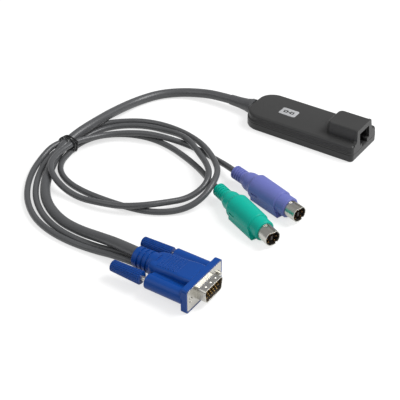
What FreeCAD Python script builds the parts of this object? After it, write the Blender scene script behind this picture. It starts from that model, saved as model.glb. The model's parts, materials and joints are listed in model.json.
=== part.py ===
import FreeCAD, Part
import math
import os

from FreeCAD import Rotation, Vector

# KVM interface adapter: a moulded adapter case with an RJ45 socket, one main
# cable to a VGA plug, and two thin leads that leave the VGA plug and end in a
# keyboard plug and a mouse plug.  The cables lie coiled and tied beside it.
#
# Frame: millimetres, +Z up, floor at Z = 0.  The origin is under the middle of
# the adapter case, whose length runs along X with the socket at the +X end.

# ---------------------------------------------------------------- adapter case
CASE_LENGTH = 79.0
CASE_WIDTH = 32.8
BASE_HEIGHT = 4.7          # height of the seam between base and cover
DECK_EDGE_HEIGHT = 10.4    # top of the cover's side wall, before its rounding
DECK_CROWN_HEIGHT = 11.0   # top of the deck along its middle
BOOT_END_RADIUS = 11.0     # plan corners at the cable end
SOCKET_END_RADIUS = 2.5    # plan corners at the socket end
CASE_WALL = 1.6
COVER_INSET = 0.5          # the deck stands in from the rim at the seam by this much
END_LEAN = 5.0             # the cover's socket end leans back by this many degrees
SEAM_GAP = 0.3
RIM_HEIGHT = 1.6           # full-width rim of the cover above the seam
DECK_ROUNDING = 1.8
BASE_ROUNDING = 1.0
CHANNEL_RADIUS = 1.6       # hollow channel round the cover, under the deck's edge
CHANNEL_DEPTH = 1.0        # measured from the rim's outer face
CHANNEL_HEIGHT = 7.3
CHANNEL_END_GAP = 3.5      # the channel stops this far from the socket end
LIP_HEIGHT = 1.0
LIP_THICKNESS = 0.7
LIP_CLEARANCE = 0.1

# hood over the socket
HOOD_LENGTH = 23.2
HOOD_WIDTH = 19.2
HOOD_TOP = 18.5
HOOD_REAR_RADIUS = 4.0
HOOD_DRAFT = 0.9           # how much each wall leans in towards the top
HOOD_ROUNDING = 1.0
END_FRAME_LENGTH = 2.6     # thicker frame round the socket opening
END_FRAME_STEP = 0.45
FRAME_FOOT_RADIUS = 2.4    # hollow foot from the frame down to the deck

# board, and the socket at its front end
BOARD_THICKNESS = 1.6
BOARD_UNDERSIDE = 2.6
BOARD_CLEARANCE = 0.2
BOARD_REAR_ROOM = 3.0      # space for the strain relief behind the board
BOARD_CORNER = 5.0
SOCKET_WIDTH = 15.2
SOCKET_LENGTH = 17.5
SOCKET_HEIGHT = 13.2
SOCKET_RECESS = 2.3        # jack face behind the foot of the cover's end face
PORT_WIDTH = 11.9
PORT_BOTTOM = 7.8
PORT_TOP = 15.1
PORT_DEPTH = 13.0
LATCH_WIDTH = 6.6
LATCH_BOTTOM = 5.7
PORT_MARGIN = 0.2          # the cover's opening is this much larger all round
CONTACT_COUNT = 8
CONTACT_PITCH = 1.02
CONTACT_WIDTH = 0.45
CONTACT_DROP = 2.5         # the spring wires slope down by this much to the back
CONTACT_RECESS = 1.6
CONTACT_LANDING = 0.8

# what stands on the board; spots are (share of its length from the cable end,
# share of its half width)
CONTROLLER_SPOT = (0.39, 0.0)
CONTROLLER_SIZE = 12.0
DRIVER_SPOT = (0.57, -0.54)
DRIVER_LENGTH = 4.0
DRIVER_WIDTH = 5.0
CHIP_HEIGHT = 1.4
CHIP_ROUNDING = 0.25
CAPACITOR_SPOTS = ((0.57, 0.54), (0.22, -0.5))
CAPACITOR_RADIUS = 2.0
CAPACITOR_HEIGHT = 4.0
CAPACITOR_ROUNDING = 0.3
HEADER_SIZE = 5.0
HEADER_HEIGHT = 3.4
HEADER_MARGIN = 0.4

# case screws, driven from below
SCREW_SPOTS = ((0.13, 0.0), (0.68, 0.0))
SCREW_RADIUS = 1.1
SCREW_HEAD_RADIUS = 2.1
SCREW_HEAD_HEIGHT = 1.4
SCREW_HEAD_ROUNDING = 0.4
SCREW_LENGTH = 6.2
SCREW_SLOT_LENGTH = 2.4
SCREW_SLOT_WIDTH = 0.5
SCREW_SLOT_DEPTH = 0.7
HEAD_RECESS = 0.3          # head below the underside
POST_RADIUS = 3.6
PILLAR_RADIUS = 2.6
REST_SPOTS = ((0.22, -0.75), (0.22, 0.75), (0.94, -0.75), (0.94, 0.75))
REST_RADIUS = 1.4
HOLE_CLEARANCE = 0.2

# ---------------------------------------------------------------------- cables
MAIN_DIAMETER = 6.0
LEAD_DIAMETER = 3.7
ARC_SHARE = 0.45           # share of the shorter run that each bend takes
BOOT_AXIS_HEIGHT = 5.6
BOOT_LENGTH = 18.0
BOOT_REAR_RADIUS = 5.2
BOOT_COLLAR_LENGTH = 2.1
BOOT_TIP_RADIUS = 3.35
BOOT_TAPER = ((11.0, 3.6), (6.0, 4.1), (3.2, 4.75), (2.4, 4.9))   # reach, radius
BOOT_NECK_RADIUS = 2.6
BOOT_FLANGE_RADIUS = 3.4
BOOT_FLANGE_LENGTH = 1.4
CORE_RADIUS = 1.3          # the cable's inner cores, inside the case
CORE_LIFT = 0.5            # above the board

# -------------------------------------------------------------------- VGA plug
VGA_PLACE = (34.2, -169.5)     # middle of the flange's front face
FLANGE_WIDTH = 32.6
FLANGE_HEIGHT = 14.8
FLANGE_THICKNESS = 3.7
VGA_AXIS_HEIGHT = 7.5
JACKSCREW_SPACING = 24.99
PLATE_WIDTH = 30.81
PLATE_HEIGHT = 12.55
PLATE_THICKNESS = 0.6
PLATE_STANDOUT = 0.1       # the plate's face in front of the flange
PLATE_CORNER = 1.0
FLANGE_CORNER = 1.6
FLANGE_EDGE_ROUNDING = 0.5
D_WIDTH = 16.92
D_HEIGHT = 8.36
D_SIDE_ANGLE = 10.0
D_CORNER = 2.0
D_PROTRUSION = 5.8
D_WALL = 0.45
D_DEPTH = 6.0              # hollow for the D connector in the flange
DIMPLE_SPOTS = (-4.4, 0.0, 4.4)
DIMPLE_RADIUS = 1.6
DIMPLE_RISE = 0.35
DIMPLE_REACH = 3.2
INSULATOR_FACE = 0.9
INSULATOR_BACK = -3.4
VGA_PIN_RADIUS = 0.4
VGA_PIN_PITCH = 2.29
VGA_ROW_PITCH = 1.98
VGA_PIN_ROOT = -2.4
VGA_PIN_RECESS = 0.7       # tips behind the rim of the D shell
PIN_ROUNDING = 0.25
GRIP_SECTIONS = (          # x, half width, top, bottom, corner radius
    (-31.0, 6.4, 13.1, 1.9, 3.2),
    (-28.0, 7.6, 13.4, 1.5, 3.0),
    (-22.0, 7.9, 13.7, 1.2, 2.7),
    (-14.0, 7.85, 14.1, 1.0, 2.3),
    (-3.2, 7.6, 14.5, 0.8, 1.8))
GRIP_REAR_ROUNDING = 1.2
GRIP_FOOT_CORNER = 1.0
GRIP_FOOT_SPREAD = 0.2
GRIP_LINE_COUNT = 8
GRIP_LINE_START = -25.0
GRIP_LINE_PITCH = 1.65
GRIP_LINE_WIDTH = 0.7
GRIP_LINE_LENGTH = 11.2
GRIP_LINE_RISE = 0.3
VGA_NECK_REAR = -42.8
VGA_NECK_RADIUS = 5.8
VGA_NECK_AXIS = 8.2
VGA_NECK_GROOVES = 3
VGA_GROOVE_START = 3.4
VGA_GROOVE_PITCH = 2.9
GROOVE_DEPTH = 0.8
GROOVE_LENGTH = 1.25
TUBE_REAR = -26.5
TUBE_RADIUS = 4.2
TUBE_ROUNDING = 0.6
WEB_BOTTOM = 4.2           # web between the screw tubes and the grip
WEB_TOP = 10.8
WEB_SETBACK = 0.8
JACKSCREW_RADIUS = 1.42
RUNNING_CLEARANCE = 0.05
COLLAR_RADIUS = 2.3
COLLAR_LENGTH = 1.0
COLLAR_REACH = 20.8        # collar and tip in front of the knob
JACKSCREW_REACH = 30.6
JACKSCREW_CHAMFER = 0.5
CHAMBER_REAR = -14.0
CHAMBER_CLEARANCE = 0.1
KNOB_LENGTH = 19.0
KNOB_FRONT_RADIUS = 3.8
KNOB_REAR_RADIUS = 3.2
KNOB_FLUTES = 22
FLUTE_DEPTH = 0.28
FLUTE_LAND = 0.22          # half a land, as a share of the pitch
KNOB_END_STEP = 0.4
KNOB_BLIND_END = 4.0       # solid end of the knob behind its screw
NEAR_KNOB_FRONT = -30.2
FAR_KNOB_FRONT = -28.6

# --------------------------------------------------- keyboard and mouse plugs
KEYBOARD_PLUG_PLACE = (-8.8, -71.6)    # middle of the neck's rear face
KEYBOARD_PLUG_HEADING = -17.2
MOUSE_PLUG_PLACE = (-7.3, -92.2)
MOUSE_PLUG_HEADING = -24.7
PLUG_AXIS_HEIGHT = 6.8
PLUG_NECK_RADIUS = 4.15
PLUG_NECK_LENGTH = 9.2
PLUG_NECK_GROOVES = 4
PLUG_GROOVE_START = 1.5
PLUG_GROOVE_PITCH = 1.9
PLUG_GROOVE_DEPTH = 0.6
PLUG_GROOVE_LENGTH = 1.0
PLUG_SHOULDER = (          # x, radius, from the neck up to the grip
    (10.6, 4.85), (12.8, 5.6), (16.5, 5.9), (17.6, 6.25), (18.8, 7.05))
PLUG_GRIP_RADIUS = 7.4
PLUG_GRIP_START = 19.5
PLUG_GRIP_END = 40.5
PLUG_FRONT_RADIUS = 6.9
PLUG_BLOCK_HALF_WIDTH = 6.8
PLUG_BLOCK_REAR = 21.0
PLUG_BLOCK_FRONT = 43.5
PLUG_BLOCK_ROUNDING = 2.0
PLUG_BLOCK_NOSE = 0.8      # height at which the block's front is furthest forward
PLUG_EDGE_ROUNDING = 0.6
PLUG_SLOT_START = 22.0     # mould slots in the two sides
PLUG_SLOT_END = 27.0
PLUG_SLOT_WIDTH = 1.0
PLUG_SLOT_DEPTH = 0.2
PLUG_COLLAR_RADIUS = 6.1
PLUG_COLLAR_END = 47.2
DIN_RADIUS = 4.75
DIN_WALL = 0.4
DIN_END = 54.6
DIN_SOCKET_DEPTH = 3.0
DIN_INSERT_FACE = 49.4
DIN_PIN_RADIUS = 0.45
DIN_PIN_END = 53.6
DIN_PIN_LENGTH = 6.2
DIN_PIN_ROWS = ((1.3, 2.2), (3.0, -0.1), (2.0, -2.6))      # half spread, height
DIN_KEY_FLOOR = 3.9        # flat floor of the key channel above the axis
DIN_KEY_HALF_WIDTH = 1.5
DIN_NOTCH_ANGLES = (-55.0, 235.0)
DIN_NOTCH_DEPTH = 0.7
DIN_NOTCH_WIDTH = 1.0
DIN_POST_WIDTH = 1.2
DIN_POST_BOTTOM = -1.7
DIN_POST_TOP = 0.9

# ------------------------------------------------------------------- cable tie
TIE_RADIUS = 0.6
TIE_CENTRE = (-114.7, -96.2)
TIE_NORMAL_ANGLE = 79.0    # direction, in plan, that the bundle runs through it
TIE_HALF_WIDTH = 8.4
TIE_TOP = 12.5
TIE_CORNER = 1.7

# Routes of the three cables: points that each one is guided round.  The main
# cable lies lowest, the two leads ride over it and over each other at the tie.
MAIN_ROUTE = (
    (-CASE_LENGTH / 2.0 - BOOT_LENGTH, 0.0, BOOT_AXIS_HEIGHT),
    (-69.0, -0.4, 5.4),
    (-81.5, -2.2, 4.0),
    (-93.2, -8.2, 3.1),
    (-103.2, -18.6, 3.0),
    (-109.8, -33.7, 3.0),
    (-113.8, -51.7, 3.0),
    (-116.6, -69.7, 3.1),
    (-117.0, -85.7, 4.4),
    (-115.3, -100.7, 4.4),
    (-111.3, -115.2, 3.1),
    (-104.3, -129.7, 3.0),
    (-95.0, -142.7, 3.0),
    (-83.0, -153.7, 3.0),
    (-68.0, -161.2, 3.0),
    (-52.0, -163.5, 3.6),
    (-36.0, -164.9, 6.4),
    (-21.5, -167.7, 9.5),
    (-8.6, -168.6, 10.0),
)

MOUSE_ROUTE = (
    (-8.6, -171.8, 5.2),
    (-20.5, -171.9, 4.6),
    (-35.0, -172.5, 2.3),
    (-51.0, -173.6, 1.9),
    (-67.0, -172.3, 1.9),
    (-82.0, -167.3, 1.9),
    (-95.4, -157.9, 1.9),
    (-106.2, -146.1, 1.9),
    (-114.8, -132.3, 1.9),
    (-120.0, -118.9, 1.9),
    (-121.6, -107.7, 5.6),
    (-119.6, -98.2, 8.7),
    (-116.2, -88.7, 9.8),
    (-111.9, -78.7, 8.0),
    (-107.6, -67.0, 4.0),
    (-102.5, -55.7, 1.9),
    (-92.5, -48.9, 1.9),
    (-79.0, -45.3, 1.9),
    (-63.0, -46.1, 2.2),
    (-47.7, -52.3, 4.2),
    (-35.0, -61.5, 7.2),
    (-24.4, -71.5, 8.6),
    (-16.2, -81.1, 10.2),
    (-11.9, -91.3, 10.8),
    (-10.6, -101.7, 7.8),
    (-13.6, -110.7, 4.2),
    (-21.0, -119.1, 1.9),
    (-32.0, -126.5, 1.9),
    (-45.0, -130.3, 1.9),
    (-61.0, -131.2, 1.9),
    (-76.0, -131.1, 1.9),
    (-89.0, -128.7, 1.9),
    (-100.0, -122.5, 1.9),
    (-106.3, -113.0, 2.0),
    (-109.2, -102.2, 3.4),
    (-109.8, -92.2, 3.4),
    (-105.8, -82.7, 2.2),
    (-98.0, -74.9, 1.9),
    (-87.8, -68.9, 1.9),
    (-75.0, -65.5, 1.9),
    (-61.0, -65.5, 1.9),
    (-46.0, -68.9, 1.9),
    (-32.0, -74.9, 1.9),
    (-21.5, -82.7, 4.0),
    (-13.6, -89.2, 6.4),
    (-7.3, -92.2, 6.8),
)

KEYBOARD_ROUTE = (
    (-8.6, -167.6, 5.0),
    (-20.5, -167.6, 4.2),
    (-35.0, -168.4, 2.2),
    (-51.0, -169.4, 1.9),
    (-65.0, -168.1, 1.9),
    (-79.0, -163.1, 1.9),
    (-91.9, -154.3, 1.9),
    (-102.5, -143.1, 1.9),
    (-110.4, -130.1, 1.9),
    (-115.6, -119.7, 2.8),
    (-117.4, -110.5, 7.8),
    (-115.3, -100.1, 9.9),
    (-112.2, -89.3, 8.6),
    (-107.9, -77.6, 4.7),
    (-103.6, -66.9, 2.2),
    (-97.0, -57.9, 1.9),
    (-86.0, -52.1, 1.9),
    (-73.0, -49.7, 2.4),
    (-60.0, -52.5, 4.8),
    (-48.0, -60.3, 7.6),
    (-36.4, -68.5, 8.0),
    (-26.0, -76.7, 9.4),
    (-18.8, -86.1, 10.0),
    (-16.4, -96.7, 7.4),
    (-19.4, -107.3, 4.2),
    (-27.4, -117.5, 5.0),
    (-37.0, -127.3, 7.2),
    (-47.0, -134.7, 6.8),
    (-59.5, -138.3, 4.2),
    (-72.0, -138.3, 2.6),
    (-84.0, -137.3, 3.8),
    (-94.6, -134.1, 6.6),
    (-103.0, -127.5, 8.7),
    (-108.4, -117.7, 8.9),
    (-110.6, -106.9, 8.2),
    (-110.6, -95.7, 7.3),
    (-106.2, -85.1, 6.9),
    (-101.5, -73.5, 5.3),
    (-93.0, -64.3, 2.1),
    (-81.0, -59.5, 1.9),
    (-67.0, -57.5, 1.9),
    (-52.0, -57.9, 1.9),
    (-37.0, -60.9, 1.9),
    (-25.0, -65.3, 3.2),
    (-16.0, -69.2, 5.9),
    (-8.8, -71.6, 6.8),
)


# ================================================================ general tools
def save(name, shape):
    """Write one node and report its volume."""
    if not shape.isValid():
        print("INVALID", name)
    shape.exportStep("parts/%s.step" % name)
    print("%-22s %2d solid(s) %10.2f mm3" % (name, len(shape.Solids), shape.Volume))


def box(x0, x1, y0, y1, z0, z1):
    return Part.makeBox(x1 - x0, y1 - y0, z1 - z0, Vector(x0, y0, z0))


def cylinder_x(x0, x1, radius, y=0.0, z=0.0):
    return Part.makeCylinder(radius, x1 - x0, Vector(x0, y, z), Vector(1, 0, 0))


def cylinder_z(z0, z1, radius, x=0.0, y=0.0):
    return Part.makeCylinder(radius, z1 - z0, Vector(x, y, z0))


def revolve_x(profile, y=0.0, z=0.0):
    """Revolve (x, radius) points about a line along X through (y, z)."""
    points = [Vector(x, y, z + r) for x, r in profile]
    points = [Vector(profile[0][0], y, z)] + points + [Vector(profile[-1][0], y, z)]
    face = Part.Face(Part.makePolygon(points + [points[0]]))
    return face.revolve(Vector(0, y, z), Vector(1, 0, 0), 360)


def rounded_wire(corners):
    """Closed wire through (point, radius) corners, each rounded by a tangent arc."""
    starts = []
    ends = []
    mids = []
    count = len(corners)
    for i in range(count):
        point, radius = corners[i]
        before = (corners[i - 1][0] - point).normalize()
        after = (corners[(i + 1) % count][0] - point).normalize()
        half = before.getAngle(after) / 2.0
        reach = radius / math.tan(half)
        middle = (before + after).normalize()
        starts.append(point + before * reach)
        ends.append(point + after * reach)
        mids.append(point + middle * (radius / math.sin(half) - radius))
    edges = []
    for i in range(count):
        if corners[i][1] > 0:
            edges.append(Part.Arc(starts[i], mids[i], ends[i]).toShape())
        edges.append(Part.LineSegment(ends[i], starts[(i + 1) % count]).toShape())
    return Part.Wire(edges)


def fillet_where(shape, radius, test):
    """Round every edge of which both ends and the middle pass the test."""
    chosen = []
    for edge in shape.Edges:
        middle = edge.valueAt((edge.FirstParameter + edge.LastParameter) / 2.0)
        points = [vertex.Point for vertex in edge.Vertexes] + [middle]
        if all(test(point) for point in points):
            chosen.append(edge)
    return shape.makeFillet(radius, chosen)


def turn_and_move(shape, place, heading):
    """Set a piece modelled along +X at the origin into its place on the floor."""
    result = shape.copy()
    result.rotate(Vector(0, 0, 0), Vector(0, 0, 1), heading)
    result.translate(Vector(place[0], place[1], 0))
    return result


# ================================================================= adapter case
BACK_X = -CASE_LENGTH / 2.0
FRONT_X = CASE_LENGTH / 2.0
HALF_WIDTH = CASE_WIDTH / 2.0
CAVITY_INSET = COVER_INSET + CASE_WALL
LIP_INSET = CAVITY_INSET + LIP_CLEARANCE
TRAY_INSET = LIP_INSET + LIP_THICKNESS
COVER_BOTTOM = BASE_HEIGHT + SEAM_GAP
CAVITY_TOP = DECK_EDGE_HEIGHT - CASE_WALL + 0.4
BOARD_TOP = BOARD_UNDERSIDE + BOARD_THICKNESS
BOARD_BACK = BACK_X + TRAY_INSET + BOARD_REAR_ROOM
BOARD_FRONT = FRONT_X - TRAY_INSET - BOARD_CLEARANCE
BOARD_HALF_WIDTH = HALF_WIDTH - TRAY_INSET - BOARD_CLEARANCE
SOCKET_FRONT = FRONT_X - SOCKET_RECESS
SOCKET_REAR = SOCKET_FRONT - SOCKET_LENGTH
SOCKET_TOP = BOARD_TOP + SOCKET_HEIGHT
NEAR = 0.01


def board_spot(spot):
    """Point on the board from shares of its length and of its half width."""
    x = BOARD_BACK + spot[0] * (BOARD_FRONT - BOARD_BACK)
    return x, spot[1] * BOARD_HALF_WIDTH


def plan_wire(back, front, half, back_radius, front_radius, z):
    """Level outline of a long shape with its own corners at each end."""
    return rounded_wire([
        (Vector(back, -half, z), back_radius),
        (Vector(front, -half, z), front_radius),
        (Vector(front, half, z), front_radius),
        (Vector(back, half, z), back_radius)])


def case_block(inset, z0, z1):
    """Upright block with the plan of the case, drawn in all round by the inset."""
    front_radius = max(SOCKET_END_RADIUS - inset, 0.5)
    wire = plan_wire(BACK_X + inset, FRONT_X - inset, HALF_WIDTH - inset,
                     BOOT_END_RADIUS - inset, front_radius, z0)
    return Part.Face(wire).extrude(Vector(0, 0, z1 - z0))


def beyond_end():
    """All that lies in front of the cover's leaning socket end."""
    space = box(FRONT_X, FRONT_X + HOOD_TOP, -CASE_WIDTH, CASE_WIDTH, 0.0, 2.0 * HOOD_TOP)
    space.rotate(Vector(FRONT_X, 0, COVER_BOTTOM), Vector(0, 1, 0), -END_LEAN)
    return space


def leaning_block(inset, top):
    """Block on the seam, drawn in at sides and back, with a leaning socket end."""
    wire = plan_wire(BACK_X + inset, FRONT_X + 1.0, HALF_WIDTH - inset,
                     BOOT_END_RADIUS - inset, 0, COVER_BOTTOM)
    block = Part.Face(wire).extrude(Vector(0, 0, top - COVER_BOTTOM)).cut(beyond_end())
    corner_x = FRONT_X - 2.0
    corner_y = HALF_WIDTH - inset - NEAR
    return fillet_where(block, SOCKET_END_RADIUS - inset,
                        lambda p: p.x > corner_x and abs(p.y) > corner_y)


def boot_neck_hole():
    return cylinder_x(BACK_X - 1.0, BACK_X + TRAY_INSET + BOARD_REAR_ROOM, BOOT_NECK_RADIUS,
                      0.0, BOOT_AXIS_HEIGHT)


def make_base():
    """Lower shell: tray with posts for the board and sunk holes for the screws."""
    body = case_block(0.0, 0.0, BASE_HEIGHT)
    body = fillet_where(body, BASE_ROUNDING, lambda p: p.z < NEAR)
    lip_top = BASE_HEIGHT + LIP_HEIGHT
    body = body.fuse(case_block(LIP_INSET, CASE_WALL, lip_top))
    body = body.cut(case_block(TRAY_INSET, CASE_WALL, lip_top + 1.0))
    posts = [(spot, POST_RADIUS) for spot in SCREW_SPOTS]
    posts += [(spot, REST_RADIUS) for spot in REST_SPOTS]
    for spot, radius in posts:
        x, y = board_spot(spot)
        body = body.fuse(cylinder_z(CASE_WALL / 2.0, BOARD_UNDERSIDE, radius, x, y))
    for spot in SCREW_SPOTS:
        x, y = board_spot(spot)
        body = body.cut(cylinder_z(-1.0, HEAD_RECESS + SCREW_HEAD_HEIGHT,
                                   SCREW_HEAD_RADIUS + HOLE_CLEARANCE, x, y))
        body = body.cut(cylinder_z(0.0, BASE_HEIGHT, SCREW_RADIUS + HOLE_CLEARANCE, x, y))
    half = SOCKET_WIDTH / 2.0 + HOLE_CLEARANCE
    body = body.cut(box(SOCKET_REAR, FRONT_X - CAVITY_INSET, -half, half, BOARD_TOP, HOOD_TOP))
    flange_seat = cylinder_x(BACK_X + CAVITY_INSET, BOARD_BACK,
                             BOOT_FLANGE_RADIUS + HOLE_CLEARANCE, 0.0, BOOT_AXIS_HEIGHT)
    return body.cut(flange_seat).cut(boot_neck_hole()).removeSplitter()


def hood_plan(z, lean, spread):
    """Level outline of the hood, drawn in by its lean and let out by the spread."""
    return plan_wire(FRONT_X - HOOD_LENGTH + lean - spread, FRONT_X + 1.0,
                     HOOD_WIDTH / 2.0 - lean + spread,
                     HOOD_REAR_RADIUS - lean + spread, 0, z)


def make_hood():
    """Raised block over the socket; its walls lean in and its top edge is rounded."""
    block = Part.makeLoft([hood_plan(DECK_EDGE_HEIGHT - 1.0, 0.0, 0.0),
                           hood_plan(HOOD_TOP, HOOD_DRAFT, 0.0)], True, True)
    return fillet_where(block, HOOD_ROUNDING, lambda p: p.z > HOOD_TOP - NEAR
                        and p.x < FRONT_X + 1.0 + NEAR and not (p.x > FRONT_X and p.y == 0.0))


def make_end_frame():
    """Thicker frame round the opening, with hollow feet down to the deck."""
    half = HOOD_WIDTH / 2.0 + END_FRAME_STEP
    foot = DECK_EDGE_HEIGHT + 0.2
    toe = half + FRAME_FOOT_RADIUS + 0.6
    x = FRONT_X - END_FRAME_LENGTH
    section = rounded_wire([
        (Vector(x, HOOD_DRAFT - half, HOOD_TOP), HOOD_ROUNDING),
        (Vector(x, half - HOOD_DRAFT, HOOD_TOP), HOOD_ROUNDING),
        (Vector(x, half, foot), FRAME_FOOT_RADIUS),
        (Vector(x, toe, foot), 0),
        (Vector(x, toe, foot - 1.5), 0),
        (Vector(x, -toe, foot - 1.5), 0),
        (Vector(x, -toe, foot), 0),
        (Vector(x, -half, foot), FRAME_FOOT_RADIUS)])
    return Part.Face(section).extrude(Vector(END_FRAME_LENGTH + 1.0, 0, 0))


def make_port_cut(x0, x1, margin):
    """The socket's opening with its latch notch below."""
    upper = box(x0, x1, -PORT_WIDTH / 2.0 - margin, PORT_WIDTH / 2.0 + margin,
                PORT_BOTTOM - margin, PORT_TOP + margin)
    notch = box(x0, x1, -LATCH_WIDTH / 2.0 - margin, LATCH_WIDTH / 2.0 + margin,
                LATCH_BOTTOM - margin, PORT_BOTTOM)
    return upper.fuse(notch)


def make_crown():
    """Tunnel whose roof is the gentle arch of the deck."""
    low = Vector(BACK_X - 1.0, -HALF_WIDTH, DECK_EDGE_HEIGHT)
    high = Vector(BACK_X - 1.0, 0, DECK_CROWN_HEIGHT)
    far = Vector(BACK_X - 1.0, HALF_WIDTH, DECK_EDGE_HEIGHT)
    drop = Vector(0, 0, -DECK_EDGE_HEIGHT)
    section = Part.Wire([
        Part.Arc(low, high, far).toShape(),
        Part.LineSegment(far, far + drop).toShape(),
        Part.LineSegment(far + drop, low + drop).toShape(),
        Part.LineSegment(low + drop, low).toShape()])
    return Part.Face(section).extrude(Vector(CASE_LENGTH + 2.0, 0, 0))


def make_channel():
    """Ball-ended channel that runs along one side, round the cable end and back."""
    out = CHANNEL_RADIUS - CHANNEL_DEPTH
    back = BACK_X - out
    side = HALF_WIDTH + out
    corner = BOOT_END_RADIUS + out
    ends = FRONT_X - CHANNEL_END_GAP
    z = CHANNEL_HEIGHT
    slant = corner * math.sqrt(0.5)
    spots = [Vector(ends, -side, z), Vector(back + corner, -side, z),
             Vector(back, corner - side, z), Vector(back, side - corner, z),
             Vector(back + corner, side, z), Vector(ends, side, z)]
    near_mid = Vector(back + corner - slant, corner - side - slant, z)
    far_mid = Vector(back + corner - slant, side - corner + slant, z)
    path = Part.Wire([
        Part.LineSegment(spots[0], spots[1]).toShape(),
        Part.Arc(spots[1], near_mid, spots[2]).toShape(),
        Part.LineSegment(spots[2], spots[3]).toShape(),
        Part.Arc(spots[3], far_mid, spots[4]).toShape(),
        Part.LineSegment(spots[4], spots[5]).toShape()])
    ring = Part.Circle(spots[0], Vector(1, 0, 0), CHANNEL_RADIUS).toShape()
    channel = path.makePipeShell([Part.Wire(ring)], True, False)
    balls = [Part.makeSphere(CHANNEL_RADIUS, spot) for spot in (spots[0], spots[5])]
    return channel, balls


def make_cover():
    """Upper shell: crowned deck over a hollow channel, hood, and screw pillars."""
    deck = leaning_block(COVER_INSET, HOOD_TOP).common(make_crown())
    deck = fillet_where(deck, DECK_ROUNDING, lambda p: p.z > DECK_EDGE_HEIGHT - 0.5)
    rim = leaning_block(0.0, COVER_BOTTOM + RIM_HEIGHT)
    hood = make_hood().fuse(make_end_frame()).cut(beyond_end())
    shell = deck.fuse([rim, hood])
    channel, balls = make_channel()
    shell = shell.cut([channel] + balls)
    cavity = case_block(CAVITY_INSET, BASE_HEIGHT - 1.0, CAVITY_TOP)
    half = SOCKET_WIDTH / 2.0
    bay = box(SOCKET_REAR - HOLE_CLEARANCE, SOCKET_FRONT, -half, half,
              BASE_HEIGHT - 1.0, SOCKET_TOP)
    shell = shell.cut(cavity).cut(bay)
    for spot in SCREW_SPOTS:
        x, y = board_spot(spot)
        pillar = cylinder_z(BOARD_TOP, CAVITY_TOP + 0.5, PILLAR_RADIUS, x, y)
        pilot = cylinder_z(BOARD_TOP - 1.0, HEAD_RECESS + SCREW_HEAD_HEIGHT + SCREW_LENGTH,
                           SCREW_RADIUS, x, y)
        shell = shell.fuse(pillar).cut(pilot)
    shell = shell.cut(make_port_cut(SOCKET_FRONT - 1.0, FRONT_X + 1.0, PORT_MARGIN))
    shell = shell.cut(boot_neck_hole())
    return shell.removeSplitter()


def make_board():
    """Board with clipped corners at the cable end, and clear holes for the screws."""
    half = BOARD_HALF_WIDTH
    corner_x = BOARD_BACK + BOARD_CORNER
    corner_y = half - BOARD_CORNER
    points = [(BOARD_BACK, -corner_y), (corner_x, -half), (BOARD_FRONT, -half),
              (BOARD_FRONT, half), (corner_x, half), (BOARD_BACK, corner_y)]
    vectors = [Vector(x, y, BOARD_UNDERSIDE) for x, y in points]
    board = Part.Face(Part.makePolygon(vectors + [vectors[0]]))
    board = board.extrude(Vector(0, 0, BOARD_THICKNESS))
    for spot in SCREW_SPOTS:
        x, y = board_spot(spot)
        board = board.cut(cylinder_z(0.0, BOARD_TOP + 1.0, SCREW_RADIUS + HOLE_CLEARANCE, x, y))
    return board


def make_socket_body():
    half = SOCKET_WIDTH / 2.0
    body = box(SOCKET_REAR, SOCKET_FRONT, -half, half, BOARD_TOP, SOCKET_TOP)
    return body.cut(make_port_cut(SOCKET_FRONT - PORT_DEPTH, SOCKET_FRONT + 1.0, 0.0))


def make_socket_contacts():
    """Eight spring wires that slope down from the roof of the port to its back wall."""
    back = SOCKET_FRONT - PORT_DEPTH
    front = SOCKET_FRONT - CONTACT_RECESS
    profile = [(front, PORT_TOP), (front - CONTACT_LANDING, PORT_TOP),
               (back, PORT_TOP - CONTACT_DROP), (back, PORT_TOP - CONTACT_DROP - CONTACT_WIDTH),
               (front, PORT_TOP - CONTACT_WIDTH)]
    wires = []
    for i in range(CONTACT_COUNT):
        y = (i - (CONTACT_COUNT - 1) / 2.0) * CONTACT_PITCH - CONTACT_WIDTH / 2.0
        vectors = [Vector(x, y, z) for x, z in profile]
        face = Part.Face(Part.makePolygon(vectors + [vectors[0]]))
        wires.append(face.extrude(Vector(0, CONTACT_WIDTH, 0)))
    return Part.makeCompound(wires)


def make_board_chips():
    """Controller and line driver in flat packages."""
    top = BOARD_TOP + CHIP_HEIGHT
    chips = []
    for spot, length, width in ((CONTROLLER_SPOT, CONTROLLER_SIZE, CONTROLLER_SIZE),
                                (DRIVER_SPOT, DRIVER_LENGTH, DRIVER_WIDTH)):
        x, y = board_spot(spot)
        chip = box(x - length / 2.0, x + length / 2.0, y - width / 2.0, y + width / 2.0,
                   BOARD_TOP, top)
        chips.append(fillet_where(chip, CHIP_ROUNDING, lambda p: p.z > top - NEAR))
    return Part.makeCompound(chips)


def make_board_capacitors():
    top = BOARD_TOP + CAPACITOR_HEIGHT
    cans = []
    for spot in CAPACITOR_SPOTS:
        x, y = board_spot(spot)
        can = cylinder_z(BOARD_TOP, top, CAPACITOR_RADIUS, x, y)
        cans.append(fillet_where(can, CAPACITOR_ROUNDING, lambda p: p.z > top - NEAR))
    return Part.makeCompound(cans)


def make_cable_header():
    back = BOARD_BACK + HEADER_MARGIN
    half = HEADER_SIZE / 2.0
    return box(back, back + HEADER_SIZE, -half, half, BOARD_TOP, BOARD_TOP + HEADER_HEIGHT)


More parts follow.
